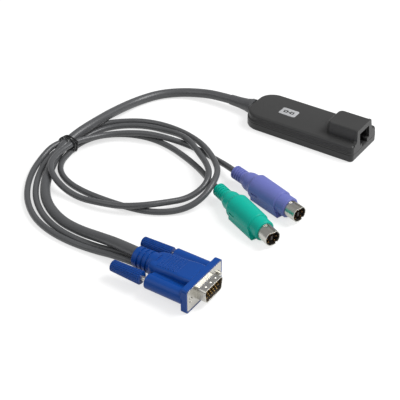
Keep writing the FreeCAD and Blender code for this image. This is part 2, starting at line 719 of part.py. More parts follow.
def make_case_screw(x, y):
    """Pan screw driven upwards, with a cross recess in its head."""
    head_top = HEAD_RECESS + SCREW_HEAD_HEIGHT
    head = cylinder_z(HEAD_RECESS, head_top, SCREW_HEAD_RADIUS, x, y)
    head = fillet_where(head, SCREW_HEAD_ROUNDING, lambda p: p.z < HEAD_RECESS + NEAR)
    long_half = SCREW_SLOT_LENGTH / 2.0
    short_half = SCREW_SLOT_WIDTH / 2.0
    for half_x, half_y in ((long_half, short_half), (short_half, long_half)):
        head = head.cut(box(x - half_x, x + half_x, y - half_y, y + half_y,
                            0.0, HEAD_RECESS + SCREW_SLOT_DEPTH))
    return head.fuse(cylinder_z(head_top, head_top + SCREW_LENGTH, SCREW_RADIUS, x, y))


def make_boot():
    """Moulded strain relief: flange inside, neck through the wall, tapered sleeve."""
    wall_in = BACK_X + CAVITY_INSET
    tip = BACK_X - BOOT_LENGTH
    profile = [(tip, BOOT_TIP_RADIUS - 0.25), (tip + 0.3, BOOT_TIP_RADIUS)]
    profile += [(BACK_X - reach, radius) for reach, radius in BOOT_TAPER]
    profile += [(BACK_X - BOOT_COLLAR_LENGTH, BOOT_REAR_RADIUS), (BACK_X, BOOT_REAR_RADIUS),
                (BACK_X, BOOT_NECK_RADIUS), (wall_in, BOOT_NECK_RADIUS),
                (wall_in, BOOT_FLANGE_RADIUS), (wall_in + BOOT_FLANGE_LENGTH, BOOT_FLANGE_RADIUS)]
    return revolve_x(profile, 0.0, BOOT_AXIS_HEIGHT)


def make_cable_core():
    start = BACK_X + CAVITY_INSET + BOOT_FLANGE_LENGTH
    return cylinder_x(start, BOARD_BACK + HEADER_MARGIN, CORE_RADIUS, 0.0,
                      BOARD_TOP + CORE_RADIUS + CORE_LIFT)


# ======================================================================= cables
def make_tube(name, route, diameter):
    """Round cable along straight runs joined by arcs as wide as the runs allow."""
    points = [Vector(*point) for point in route]
    edges = []
    radii = []
    last = points[0]
    for i in range(1, len(points) - 1):
        before = points[i - 1] - points[i]
        after = points[i + 1] - points[i]
        reach = ARC_SHARE * min(before.Length, after.Length)
        before.normalize()
        after.normalize()
        half = before.getAngle(after) / 2.0
        radius = reach * math.tan(half)
        radii.append(radius)
        middle = (before + after).normalize()
        start = points[i] + before * reach
        end = points[i] + after * reach
        mid = points[i] + middle * (radius / math.sin(half) - radius)
        edges.append(Part.LineSegment(last, start).toShape())
        edges.append(Part.Arc(start, mid, end).toShape())
        last = end
    edges.append(Part.LineSegment(last, points[-1]).toShape())
    path = Part.Wire(edges)
    ring = Part.Circle(points[0], points[1] - points[0], diameter / 2.0).toShape()
    tube = path.makePipeShell([Part.Wire(ring)], True, False)
    expected = math.pi * diameter ** 2 / 4.0 * path.Length
    print("%-22s length %.0f mm, smallest bend radius %.1f mm, volume / expected %.4f"
          % (name, path.Length, min(radii), tube.Volume / expected))
    return tube


def make_tie():
    """Coated wire wound twice round the bundle, its two ends brought together."""
    angle = math.radians(TIE_NORMAL_ANGLE)
    along = Vector(math.cos(angle), -math.sin(angle), 0)
    across = Vector(math.sin(angle), math.cos(angle), 0)
    half = TIE_HALF_WIDTH
    low = TIE_RADIUS + 0.05
    top = TIE_TOP
    cut = TIE_CORNER
    turn = [(half, low + cut), (half, top - cut), (half - cut, top), (cut - half, top),
            (-half, top - cut), (-half, low + cut), (cut - half, low), (half - cut, low)]
    wound = turn + turn
    pitch = 3.2 * TIE_RADIUS
    offsets = [pitch * (i / (len(wound) - 1.0) * 2.0 - 1.0) for i in range(len(wound))]
    first_end = [(half + 4.6, 3.1, -1.4 * TIE_RADIUS), (half + 1.6, 2.3, -2.4 * TIE_RADIUS)]
    last_end = [(half + 1.6, low + 0.1, 2.4 * TIE_RADIUS), (half + 4.8, 1.6, 1.4 * TIE_RADIUS)]
    spots = first_end + [(s, z, n) for (s, z), n in zip(wound, offsets)] + last_end
    centre = Vector(TIE_CENTRE[0], TIE_CENTRE[1], 0)
    route = [tuple(centre + across * s + along * n + Vector(0, 0, z)) for s, z, n in spots]
    return make_tube("cable_tie", route, 2.0 * TIE_RADIUS)


# ===================================================================== VGA plug
# Modelled with +X out of the socket, the flange's front face at X = 0.
HALF_SPACING = JACKSCREW_SPACING / 2.0
BORE_RADIUS = JACKSCREW_RADIUS + RUNNING_CLEARANCE


def d_wire(x, width, height, corner):
    """Outline of the D connector: wide side up, flanks leaning in by 10 degrees."""
    lean = height * math.tan(math.radians(D_SIDE_ANGLE)) / 2.0
    top = VGA_AXIS_HEIGHT + height / 2.0
    bottom = VGA_AXIS_HEIGHT - height / 2.0
    half = width / 2.0
    return rounded_wire([
        (Vector(x, -half, top), corner),
        (Vector(x, half, top), corner),
        (Vector(x, half - 2.0 * lean, bottom), corner),
        (Vector(x, -half + 2.0 * lean, bottom), corner)])


def d_block(x0, x1, inset):
    wire = d_wire(x0, D_WIDTH - 2.0 * inset, D_HEIGHT - 2.0 * inset, D_CORNER - inset)
    return Part.Face(wire).extrude(Vector(x1 - x0, 0, 0))


def grip_wire(x, half, top, bottom, corner):
    """One cross section of the grip."""
    foot = half + GRIP_FOOT_SPREAD
    return rounded_wire([
        (Vector(x, -half, top), corner),
        (Vector(x, half, top), corner),
        (Vector(x, foot, bottom), GRIP_FOOT_CORNER),
        (Vector(x, -foot, bottom), GRIP_FOOT_CORNER)])


def make_vga_hood():
    """Overmoulded grip: flange, tapered body, two screw tubes, ribbed neck."""
    half = FLANGE_WIDTH / 2.0
    front = -FLANGE_THICKNESS
    inside = GRIP_SECTIONS[-1][0]
    flange = box(front, 0.0, -half, half, 0.0, FLANGE_HEIGHT)
    flange = fillet_where(flange, FLANGE_CORNER, lambda p: abs(abs(p.y) - half) < NEAR
                          and (p.z < NEAR or p.z > FLANGE_HEIGHT - NEAR))
    flange = fillet_where(flange, FLANGE_EDGE_ROUNDING, lambda p: abs(p.x - front) < NEAR)
    body = Part.makeLoft([grip_wire(*section) for section in GRIP_SECTIONS], True, False)
    rear = GRIP_SECTIONS[0][0]
    body = fillet_where(body, GRIP_REAR_ROUNDING, lambda p: abs(p.x - rear) < NEAR)
    web = box(TUBE_REAR + WEB_SETBACK, inside, -HALF_SPACING, HALF_SPACING, WEB_BOTTOM, WEB_TOP)
    shape = flange.fuse([body, web])
    for side in (-1, 1):
        y = side * HALF_SPACING
        tube = cylinder_x(TUBE_REAR, inside, TUBE_RADIUS, y, VGA_AXIS_HEIGHT)
        tube = fillet_where(tube, TUBE_ROUNDING, lambda p: abs(p.x - TUBE_REAR) < NEAR)
        shape = shape.fuse(tube)
    shape = shape.fuse([make_vga_neck()] + make_grip_lines())
    for side in (-1, 1):
        y = side * HALF_SPACING
        shape = shape.cut(cylinder_x(TUBE_REAR - 1.0, 1.0, BORE_RADIUS, y, VGA_AXIS_HEIGHT))
        shape = shape.cut(cylinder_x(CHAMBER_REAR, 1.0, COLLAR_RADIUS + CHAMBER_CLEARANCE, y,
                                     VGA_AXIS_HEIGHT))
    plate_half = PLATE_WIDTH / 2.0
    pocket = box(PLATE_STANDOUT - PLATE_THICKNESS, 1.0, -plate_half, plate_half,
                 VGA_AXIS_HEIGHT - PLATE_HEIGHT / 2.0, VGA_AXIS_HEIGHT + PLATE_HEIGHT / 2.0)
    return shape.cut(pocket).cut(d_block(-D_DEPTH, 1.0, 0.0)).removeSplitter()


def make_vga_neck():
    """Round neck with grooves that let it bend with the cables."""
    rear = VGA_NECK_REAR
    radius = VGA_NECK_RADIUS
    slope = GROOVE_LENGTH / 5.0
    profile = [(rear, radius - 0.7), (rear + 0.7, radius)]
    for i in range(VGA_NECK_GROOVES):
        start = rear + VGA_GROOVE_START + VGA_GROOVE_PITCH * i
        bump = radius + 0.12 * (i + 1)
        floor = bump - GROOVE_DEPTH
        profile += [(start, bump), (start + slope, floor),
                    (start + GROOVE_LENGTH - slope, floor), (start + GROOVE_LENGTH, bump)]
    profile += [(GRIP_SECTIONS[1][0], radius + 0.4)]
    return revolve_x(profile, 0.0, VGA_NECK_AXIS)


def make_grip_lines():
    """Fine raised lines across the top of the grip."""
    rear = GRIP_SECTIONS[1]
    front = GRIP_SECTIONS[-1]
    rise = (front[2] - rear[2]) / (front[0] - rear[0])
    y = -GRIP_LINE_LENGTH / 2.0
    foot = GRIP_LINE_WIDTH / 2.0 + 0.05
    crest = GRIP_LINE_WIDTH / 2.0 - 0.05
    lines = []
    for i in range(GRIP_LINE_COUNT):
        x = GRIP_LINE_START + GRIP_LINE_PITCH * i
        top = rear[2] + rise * (x - rear[0])
        profile = [Vector(x - foot, y, top - 1.0), Vector(x + foot, y, top - 1.0),
                   Vector(x + crest, y, top + GRIP_LINE_RISE),
                   Vector(x - crest, y, top + GRIP_LINE_RISE)]
        face = Part.Face(Part.makePolygon(profile + [profile[0]]))
        lines.append(face.extrude(Vector(0, GRIP_LINE_LENGTH, 0)))
    return lines


def make_vga_shell():
    """Nickel plate with two screw holes, and the D shell pressed out of it."""
    half = PLATE_WIDTH / 2.0
    back = PLATE_STANDOUT - PLATE_THICKNESS
    plate = box(back, PLATE_STANDOUT, -half, half,
                VGA_AXIS_HEIGHT - PLATE_HEIGHT / 2.0, VGA_AXIS_HEIGHT + PLATE_HEIGHT / 2.0)
    plate = fillet_where(plate, PLATE_CORNER, lambda p: abs(abs(p.y) - half) < NEAR
                         and abs(abs(p.z - VGA_AXIS_HEIGHT) - PLATE_HEIGHT / 2.0) < NEAR)
    for side in (-1, 1):
        plate = plate.cut(cylinder_x(-1.0, 1.0, JACKSCREW_RADIUS + HOLE_CLEARANCE,
                                     side * HALF_SPACING, VGA_AXIS_HEIGHT))
    shell = plate.fuse(d_block(INSULATOR_BACK, D_PROTRUSION, 0.0))
    dimple_z = VGA_AXIS_HEIGHT + D_HEIGHT / 2.0 + DIMPLE_RISE - DIMPLE_RADIUS
    for y in DIMPLE_SPOTS:
        shell = shell.fuse(Part.makeSphere(DIMPLE_RADIUS, Vector(DIMPLE_REACH, y, dimple_z)))
    shell = shell.cut(d_block(INSULATOR_BACK - 1.0, D_PROTRUSION + 1.0, D_WALL))
    return shell.removeSplitter()


def vga_pin_spots():
    """Three rows of five; the middle row is shifted by half a pitch."""
    spots = []
    for row, shift in ((1, 0.0), (0, 0.5), (-1, 0.0)):
        for column in range(5):
            y = (column - 2 + shift - 0.25) * VGA_PIN_PITCH
            spots.append((y, VGA_AXIS_HEIGHT + row * VGA_ROW_PITCH))
    return spots


def make_vga_pins():
    pins = []
    tip = D_PROTRUSION - VGA_PIN_RECESS
    for y, z in vga_pin_spots():
        pin = cylinder_x(VGA_PIN_ROOT, tip, VGA_PIN_RADIUS, y, z)
        pins.append(fillet_where(pin, PIN_ROUNDING, lambda p: p.x > tip - NEAR))
    return Part.makeCompound(pins)


def make_vga_insulator():
    block = d_block(INSULATOR_BACK, INSULATOR_FACE, D_WALL)
    return block.cut([cylinder_x(VGA_PIN_ROOT, D_PROTRUSION, VGA_PIN_RADIUS, y, z)
                      for y, z in vga_pin_spots()])


def make_jackscrew(side, knob_front):
    """Screw with a retaining collar; its rear half carries the knob."""
    y = side * HALF_SPACING
    tip = knob_front + JACKSCREW_REACH
    collar = knob_front + COLLAR_REACH
    collar_end = collar + COLLAR_LENGTH
    profile = [
        (knob_front - KNOB_LENGTH + KNOB_BLIND_END, JACKSCREW_RADIUS), (collar, JACKSCREW_RADIUS),
        (collar, COLLAR_RADIUS), (collar_end, COLLAR_RADIUS), (collar_end, JACKSCREW_RADIUS),
        (tip - JACKSCREW_CHAMFER, JACKSCREW_RADIUS), (tip, JACKSCREW_RADIUS - JACKSCREW_CHAMFER)]
    return revolve_x(profile, y, VGA_AXIS_HEIGHT)


def fluted_wire(x, radius):
    """Ring of lands and shallow hollow flutes about the X axis."""
    step = 2.0 * math.pi / KNOB_FLUTES
    land = FLUTE_LAND * step

    def spot(angle, distance):
        return Vector(x, distance * math.cos(angle), distance * math.sin(angle))

    edges = []
    for i in range(KNOB_FLUTES):
        middle = i * step
        start = spot(middle - land, radius)
        end = spot(middle + land, radius)
        after = spot(middle + step - land, radius)
        edges.append(Part.Arc(start, spot(middle, radius), end).toShape())
        hollow = spot(middle + step / 2.0, radius - FLUTE_DEPTH)
        edges.append(Part.Arc(end, hollow, after).toShape())
    return Part.Wire(edges)


def make_knob():
    """Tapered finger knob with its front at X = 0, fluted lengthways and bored for its screw."""
    rear = -KNOB_LENGTH
    grip = Part.makeLoft([fluted_wire(rear + KNOB_END_STEP, KNOB_REAR_RADIUS),
                          fluted_wire(-KNOB_END_STEP, KNOB_FRONT_RADIUS)], True, True)
    rear_cap = cylinder_x(rear, rear + 2.0, KNOB_REAR_RADIUS - FLUTE_DEPTH - 0.1)
    rear_cap = fillet_where(rear_cap, 0.3, lambda p: p.x < rear + NEAR)
    front_cap = cylinder_x(-2.0, 0.0, KNOB_FRONT_RADIUS - FLUTE_DEPTH - 0.1)
    bore = cylinder_x(KNOB_BLIND_END - KNOB_LENGTH - RUNNING_CLEARANCE, 1.0, BORE_RADIUS)
    return grip.fuse([rear_cap, front_cap]).cut(bore)


# ================================================== keyboard and mouse plugs
def make_plug_body():
    """Ribbed neck, round grip with a squared underside, and a front collar."""
    radius = PLUG_NECK_RADIUS
    profile = [(0.0, radius - 0.5), (0.5, radius)]
    slope = PLUG_GROOVE_LENGTH / 5.0
    floor = radius - PLUG_GROOVE_DEPTH
    for i in range(PLUG_NECK_GROOVES):
        start = PLUG_GROOVE_START + PLUG_GROOVE_PITCH * i
        profile += [(start, radius), (start + slope, floor),
                    (start + PLUG_GROOVE_LENGTH - slope, floor),
                    (start + PLUG_GROOVE_LENGTH, radius)]
    edge = PLUG_EDGE_ROUNDING
    profile += [(PLUG_NECK_LENGTH, radius)]
    profile += PLUG_SHOULDER
    profile += [
        (PLUG_GRIP_START, PLUG_GRIP_RADIUS), (PLUG_GRIP_END - edge, PLUG_FRONT_RADIUS),
        (PLUG_GRIP_END, PLUG_FRONT_RADIUS - edge), (PLUG_GRIP_END, PLUG_COLLAR_RADIUS),
        (PLUG_COLLAR_END - edge, PLUG_COLLAR_RADIUS), (PLUG_COLLAR_END, PLUG_COLLAR_RADIUS - edge)]
    body = revolve_x(profile, 0.0, PLUG_AXIS_HEIGHT)
    wide = 2.0 * PLUG_GRIP_RADIUS
    body = body.common(box(-1.0, PLUG_COLLAR_END + 1.0, -wide, wide, 0.0, 2.0 * wide))
    half = PLUG_BLOCK_HALF_WIDTH
    side = [Vector(PLUG_BLOCK_REAR, -half, 0.0), Vector(PLUG_BLOCK_FRONT - edge, -half, 0.0),
            Vector(PLUG_BLOCK_FRONT, -half, PLUG_BLOCK_NOSE),
            Vector(PLUG_GRIP_END, -half, PLUG_AXIS_HEIGHT),
            Vector(PLUG_BLOCK_REAR, -half, PLUG_AXIS_HEIGHT)]
    block = Part.Face(Part.makePolygon(side + [side[0]])).extrude(Vector(0, 2.0 * half, 0))
    block = fillet_where(block, PLUG_BLOCK_ROUNDING, lambda p: abs(abs(p.y) - half) < NEAR
                         and p.z < NEAR)
    body = body.fuse(block)
    reach = half - PLUG_SLOT_DEPTH
    slot_top = PLUG_AXIS_HEIGHT + PLUG_SLOT_DEPTH
    for y0, y1 in ((-wide, -reach), (reach, wide)):
        body = body.cut(box(PLUG_SLOT_START, PLUG_SLOT_END, y0, y1,
                            slot_top - PLUG_SLOT_WIDTH, slot_top))
    socket = cylinder_x(PLUG_COLLAR_END - DIN_SOCKET_DEPTH, PLUG_COLLAR_END + 1.0, DIN_RADIUS,
                        0.0, PLUG_AXIS_HEIGHT)
    return body.cut(socket).removeSplitter()


def din_block(x0, x1, inset):
    """Round bar with a flat-bottomed key channel along its top, drawn in all round."""
    radius = DIN_RADIUS - inset
    key_half = DIN_KEY_HALF_WIDTH + inset
    bar = cylinder_x(x0, x1, radius, 0.0, PLUG_AXIS_HEIGHT)
    channel = box(x0 - 1.0, x1 + 1.0, -key_half, key_half,
                  PLUG_AXIS_HEIGHT + DIN_KEY_FLOOR - inset, PLUG_AXIS_HEIGHT + radius + 1.0)
    return bar.cut(channel)


def make_plug_shell():
    """Plated contact shell with its key channel and two side notches at the rim."""
    start = PLUG_COLLAR_END - DIN_SOCKET_DEPTH
    outer = cylinder_x(start, PLUG_COLLAR_END, DIN_RADIUS, 0.0, PLUG_AXIS_HEIGHT)
    outer = outer.fuse(din_block(PLUG_COLLAR_END, DIN_END, 0.0))
    shell = outer.cut(din_block(start - 1.0, DIN_END + 1.0, DIN_WALL))
    for angle in DIN_NOTCH_ANGLES:
        notch = box(DIN_END - DIN_NOTCH_DEPTH, DIN_END + 1.0, DIN_RADIUS - 1.0, DIN_RADIUS + 1.0,
                    -DIN_NOTCH_WIDTH / 2.0, DIN_NOTCH_WIDTH / 2.0)
        notch.rotate(Vector(0, 0, 0), Vector(1, 0, 0), angle)
        notch.translate(Vector(0, 0, PLUG_AXIS_HEIGHT))
        shell = shell.cut(notch)
    return shell.removeSplitter()


def din_pin_spots():
    """Six contacts in pairs, from the key channel downwards."""
    spots = []
    for spread, height in DIN_PIN_ROWS:
        for sign in (-1, 1):
            spots.append((sign * spread, PLUG_AXIS_HEIGHT + height))
    return spots


def make_plug_pins():
    pins = []
    for y, z in din_pin_spots():
        pin = cylinder_x(DIN_PIN_END - DIN_PIN_LENGTH, DIN_PIN_END, DIN_PIN_RADIUS, y, z)
        pins.append(fillet_where(pin, PIN_ROUNDING, lambda p: p.x > DIN_PIN_END - NEAR))
    return Part.makeCompound(pins)


def make_plug_insert():
    """Moulded disc that carries the contacts, with the polarising post."""
    disc = din_block(PLUG_COLLAR_END - DIN_SOCKET_DEPTH, DIN_INSERT_FACE, DIN_WALL)
    post = box(DIN_INSERT_FACE - 1.0, DIN_PIN_END, -DIN_POST_WIDTH / 2.0, DIN_POST_WIDTH / 2.0,
               PLUG_AXIS_HEIGHT + DIN_POST_BOTTOM, PLUG_AXIS_HEIGHT + DIN_POST_TOP)
    holes = [cylinder_x(DIN_PIN_END - DIN_PIN_LENGTH, DIN_PIN_END, DIN_PIN_RADIUS, y, z)
             for y, z in din_pin_spots()]
    return disc.fuse(post).cut(holes).removeSplitter()


# ======================================================================== build
def build_adapter():
    save("adapter_base", make_base())
    save("adapter_cover", make_cover())
    save("circuit_board", make_board())
    save("rj45_body", make_socket_body())
    save("rj45_contacts", make_socket_contacts())
    save("board_chips", make_board_chips())
    save("board_capacitors", make_board_capacitors())
    save("cable_header", make_cable_header())
    save("cable_core", make_cable_core())
    save("cable_boot", make_boot())
    for name, spot in zip(("case_screw_rear", "case_screw_front"), SCREW_SPOTS):
        save(name, make_case_screw(*board_spot(spot)))


def build_vga_plug():
    def placed(shape):
        return turn_and_move(shape, VGA_PLACE, 0.0)

    save("vga_hood", placed(make_vga_hood()))
    save("vga_shell", placed(make_vga_shell()))
    save("vga_insulator", placed(make_vga_insulator()))
    save("vga_pins", placed(make_vga_pins()))
    for name, side, knob_front in (("near", -1, NEAR_KNOB_FRONT), ("far", 1, FAR_KNOB_FRONT)):
        save("jackscrew_" + name, placed(make_jackscrew(side, knob_front)))
        knob = make_knob()
        knob.translate(Vector(knob_front, side * HALF_SPACING, VGA_AXIS_HEIGHT))
        save("knob_" + name, placed(knob))


def build_din_plugs():
    body = make_plug_body()
    shell = make_plug_shell()
    insert = make_plug_insert()
    pins = make_plug_pins()
    for name, place, heading in (
            ("keyboard", KEYBOARD_PLUG_PLACE, KEYBOARD_PLUG_HEADING),
            ("mouse", MOUSE_PLUG_PLACE, MOUSE_PLUG_HEADING)):
        save(name + "_plug_body", turn_and_move(body, place, heading))
        save(name + "_plug_shell", turn_and_move(shell, place, heading))
        save(name + "_plug_insert", turn_and_move(insert, place, heading))
        save(name + "_plug_pins", turn_and_move(pins, place, heading))


def build_cables():
    save("main_cable", make_tube("main_cable", MAIN_ROUTE, MAIN_DIAMETER))
    save("mouse_cable", make_tube("mouse_cable", MOUSE_ROUTE, LEAD_DIAMETER))
    save("keyboard_cable", make_tube("keyboard_cable", KEYBOARD_ROUTE, LEAD_DIAMETER))
    save("cable_tie", make_tie())


os.makedirs("parts", exist_ok=True)
build_adapter()
build_vga_plug()
build_din_plugs()
build_cables()
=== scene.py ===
import json
import math

import bpy
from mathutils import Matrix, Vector


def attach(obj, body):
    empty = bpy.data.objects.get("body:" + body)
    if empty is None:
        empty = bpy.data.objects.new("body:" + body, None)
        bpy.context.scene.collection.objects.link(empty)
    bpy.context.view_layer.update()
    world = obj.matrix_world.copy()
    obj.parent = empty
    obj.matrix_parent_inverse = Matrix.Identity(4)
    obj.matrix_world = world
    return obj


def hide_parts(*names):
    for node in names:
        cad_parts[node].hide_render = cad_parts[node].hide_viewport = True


# Dresses the KVM dongle, in metres: finishes for its solids, its three cables as smooth
# curves, the wire tie round them, the badge, and the floor and light of the photograph.

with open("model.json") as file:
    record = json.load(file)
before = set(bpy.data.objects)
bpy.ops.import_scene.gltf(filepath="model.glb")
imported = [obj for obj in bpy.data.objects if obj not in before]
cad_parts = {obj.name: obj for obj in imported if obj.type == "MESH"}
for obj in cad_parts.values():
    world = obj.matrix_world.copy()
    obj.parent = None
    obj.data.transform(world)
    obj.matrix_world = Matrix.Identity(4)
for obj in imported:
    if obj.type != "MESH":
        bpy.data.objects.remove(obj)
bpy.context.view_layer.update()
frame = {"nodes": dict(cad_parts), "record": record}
scene = bpy.context.scene
bpy.ops.object.select_all(action="DESELECT")


# ---------------------------------------------------------------- camera

LOOK_AT = Vector((-0.01558, -0.09907, 0.0))
AZIMUTH = math.radians(33.77)
ELEVATION = math.radians(35.35)
DISTANCE = 0.62858
FOCAL_LENGTH = 98.05     # millimetres, as the sensor's width
SENSOR_WIDTH = 36.0

camera_data = bpy.data.cameras.new("camera")
camera_data.lens = FOCAL_LENGTH
camera_data.sensor_width = SENSOR_WIDTH
camera_data.clip_start = 0.01
camera_data.clip_end = 20.0
camera = bpy.data.objects.new("camera", camera_data)
scene.collection.objects.link(camera)
back = Vector((
    math.sin(AZIMUTH) * math.cos(ELEVATION),
    -math.cos(AZIMUTH) * math.cos(ELEVATION),
    math.sin(ELEVATION),
))
camera.location = LOOK_AT + back * DISTANCE
camera.rotation_mode = "QUATERNION"
camera.rotation_quaternion = (-back).to_track_quat("-Z", "Y")
scene.camera = camera


# ---------------------------------------------------------------- node helpers

def new_material(name):
    """An empty material with an output and a Principled shader."""
    material = bpy.data.materials.new(name)
    material.use_nodes = True
    tree = material.node_tree
    tree.nodes.clear()
    shader = tree.nodes.new("ShaderNodeBsdfPrincipled")
    output = tree.nodes.new("ShaderNodeOutputMaterial")
    tree.links.new(shader.outputs["BSDF"], output.inputs["Surface"])
    return material, tree, shader


def feed(tree, source, target):
    """Links an output socket to an input socket."""
    tree.links.new(source, target)


def grey(value):
    return (value, value, value, 1.0)


def to_linear(red, green, blue):
    """A colour given as it looks on screen, 0 to 255, in the renderer's own values."""
    def channel(value):
        value = value / 255.0
        if value <= 0.04045:
            return value / 12.92
        return ((value + 0.055) / 1.055) ** 2.4
    return (channel(red), channel(green), channel(blue), 1.0)


def new_group(name, inputs, outputs):
    """A shader node group; an input is (name, type, default), an output (name, type)."""
    tree = bpy.data.node_groups.new(name, "ShaderNodeTree")
    for label, kind, default in inputs:
        socket = tree.interface.new_socket(name=label, in_out="INPUT", socket_type=kind)
        socket.default_value = default
    for label, kind in outputs:
        tree.interface.new_socket(name=label, in_out="OUTPUT", socket_type=kind)
    enter = tree.nodes.new("NodeGroupInput")
    leave = tree.nodes.new("NodeGroupOutput")
    return tree, enter, leave


def number(tree, operation, *values):
    """A Math node whose inputs are sockets or plain numbers; returns its output."""
    node = tree.nodes.new("ShaderNodeMath")
    node.operation = operation
    for socket, value in zip(node.inputs, values):
        if isinstance(value, (int, float)):
            socket.default_value = value
        else:
            feed(tree, value, socket)
    return node.outputs[0]


CLOUD_SCALE = 90.0       # broad, faint unevenness of a moulding
EDGE_SAMPLES = 6
SKIN_RELIEF = 0.0001     # height of the mould texture
METAL_SHADE = 0.14


def make_moulded_skin():
    """Mould texture of a plastic: its colour, roughness and height over the surface."""
    tree, enter, leave = new_group(
        "moulded skin",
        [
            ("Colour", "NodeSocketColor", grey(0.5)),
            ("Shade", "NodeSocketFloat", 0.1),
            ("Roughness", "NodeSocketFloat", 0.5),
            ("Spread", "NodeSocketFloat", 0.08),
            ("Grain Scale", "NodeSocketFloat", 3000.0),
        ],
        [
            ("Colour", "NodeSocketColor"),
            ("Roughness", "NodeSocketFloat"),
            ("Height", "NodeSocketFloat"),
        ],
    )
    place = tree.nodes.new("ShaderNodeTexCoord")
    cloud = tree.nodes.new("ShaderNodeTexNoise")
    cloud.inputs["Scale"].default_value = CLOUD_SCALE
    cloud.inputs["Detail"].default_value = 3.0
    grain = tree.nodes.new("ShaderNodeTexNoise")
    grain.inputs["Detail"].default_value = 2.0
    feed(tree, place.outputs["Object"], cloud.inputs["Vector"])
    feed(tree, place.outputs["Object"], grain.inputs["Vector"])
    feed(tree, enter.outputs["Grain Scale"], grain.inputs["Scale"])

    cloud_part = number(tree, "SUBTRACT", cloud.outputs["Fac"], 0.5)
    grain_part = number(tree, "SUBTRACT", grain.outputs["Fac"], 0.5)
    both = number(tree, "ADD", cloud_part, grain_part)
    change = number(tree, "MULTIPLY_ADD", both, enter.outputs["Shade"], 1.0)
    tint = tree.nodes.new("ShaderNodeVectorMath")
    tint.operation = "SCALE"
    feed(tree, enter.outputs["Colour"], tint.inputs[0])
    feed(tree, change, tint.inputs["Scale"])
    feed(tree, tint.outputs[0], leave.inputs["Colour"])
    gloss = number(tree, "MULTIPLY_ADD", both, enter.outputs["Spread"], enter.outputs["Roughness"])
    feed(tree, gloss, leave.inputs["Roughness"])
    feed(tree, grain.outputs["Fac"], leave.inputs["Height"])
    return tree


MOULDED_SKIN = make_moulded_skin()


def moulded_plastic(name, colour, roughness, shade=0.12, spread=0.08, grain=3000.0, depth=0.15,
                    edge=0.00025, shine=0.5):
    """A moulded plastic or rubber with its own colour, gloss, mould texture and soft edges."""
    material, tree, shader = new_material(name)
    skin = tree.nodes.new("ShaderNodeGroup")
    skin.node_tree = MOULDED_SKIN
    skin.inputs["Colour"].default_value = colour
    skin.inputs["Shade"].default_value = shade
    skin.inputs["Roughness"].default_value = roughness
    skin.inputs["Spread"].default_value = spread
    skin.inputs["Grain Scale"].default_value = grain
    feed(tree, skin.outputs["Colour"], shader.inputs["Base Color"])
    feed(tree, skin.outputs["Roughness"], shader.inputs["Roughness"])
    shader.inputs["Specular IOR Level"].default_value = shine
    soft_edge = tree.nodes.new("ShaderNodeBevel")
    soft_edge.samples = EDGE_SAMPLES
    soft_edge.inputs["Radius"].default_value = edge
    bump = tree.nodes.new("ShaderNodeBump")
    bump.inputs["Strength"].default_value = depth
    bump.inputs["Distance"].default_value = SKIN_RELIEF
    feed(tree, skin.outputs["Height"], bump.inputs["Height"])
    feed(tree, soft_edge.outputs["Normal"], bump.inputs["Normal"])
    feed(tree, bump.outputs["Normal"], shader.inputs["Normal"])
    return material


def metal(name, colour, roughness, spread=0.1, grain=1500.0, depth=0.05, edge=0.0002):
    """A plated or bare metal with faint clouding and a fine finish."""
    material = moulded_plastic(name, colour, roughness, METAL_SHADE, spread, grain, depth, edge)
    material.node_tree.nodes["Principled BSDF"].inputs["Metallic"].default_value = 1.0
    return material


CASE = moulded_plastic("charcoal moulded case", to_linear(62, 62, 62), 0.38, shine=0.32)
JACKET = moulded_plastic("dark grey cable jacket", to_linear(86, 87, 89), 0.34, shade=0.2, grain=1800.0)
TIE_COAT = moulded_plastic("black tie coating", to_linear(22, 22, 23), 0.35)
BLUE = moulded_plastic("blue moulded plastic", to_linear(10, 70, 152), 0.36, shine=0.28)
PURPLE = moulded_plastic("violet moulded plastic", to_linear(112, 119, 190), 0.4, shine=0.3)
GREEN = moulded_plastic("green moulded plastic", to_linear(0, 182, 160), 0.38, shine=0.26)
NICKEL = metal("bright nickel", to_linear(198, 196, 189), 0.34)
GOLD = metal("gold plating", to_linear(176, 144, 88), 0.34)
# Darker copy of the gold plating: painted shade for the pins that sit deep inside the plug shells.
PAINTED_SHADE_GOLD = metal("shaded gold plating", to_linear(116, 88, 54), 0.4)
BLACK = moulded_plastic("black insulator", to_linear(26, 26, 27), 0.4)
BROWN = moulded_plastic("dark brown insulator", to_linear(48, 36, 28), 0.4)
BOARD = moulded_plastic("green board", to_linear(24, 84, 48), 0.4)
CAN = metal("aluminium can", to_linear(190, 190, 192), 0.34)
STEEL = metal("screw steel", to_linear(168, 168, 170), 0.3)
SILVER = moulded_plastic("silver badge paint", to_linear(184, 185, 187), 0.4)

FINISHES = {
    "case_plastic": CASE,
    "cable_jacket": JACKET,
    "tie_coating": TIE_COAT,
    "blue_plastic": BLUE,
    "purple_plastic": PURPLE,
    "green_plastic": GREEN,
    "nickel": NICKEL,
    "gold": GOLD,
    "black_insulator": BLACK,
    "board": BOARD,
    "can_aluminium": CAN,
    "screw_steel": STEEL,
}


# ---------------------------------------------------------------- finishes of the solids

for part in frame["record"]["subparts"]:
    solid = frame["nodes"][part["node"]]
    finish = FINISHES[part["material_slot"]]
    if part["node"].endswith("_insert") or part["node"] == "vga_insulator":
        finish = BROWN
    # Pins inside the plug shells get the darker gold, which is painted shade.
    if part["node"].endswith("_plug_pins"):
        finish = PAINTED_SHADE_GOLD
    for index in range(len(solid.data.materials)):
        solid.data.materials[index] = finish


# ---------------------------------------------------------------- cables

MAIN_DIAMETER = 0.0060
LEAD_DIAMETER = 0.0037

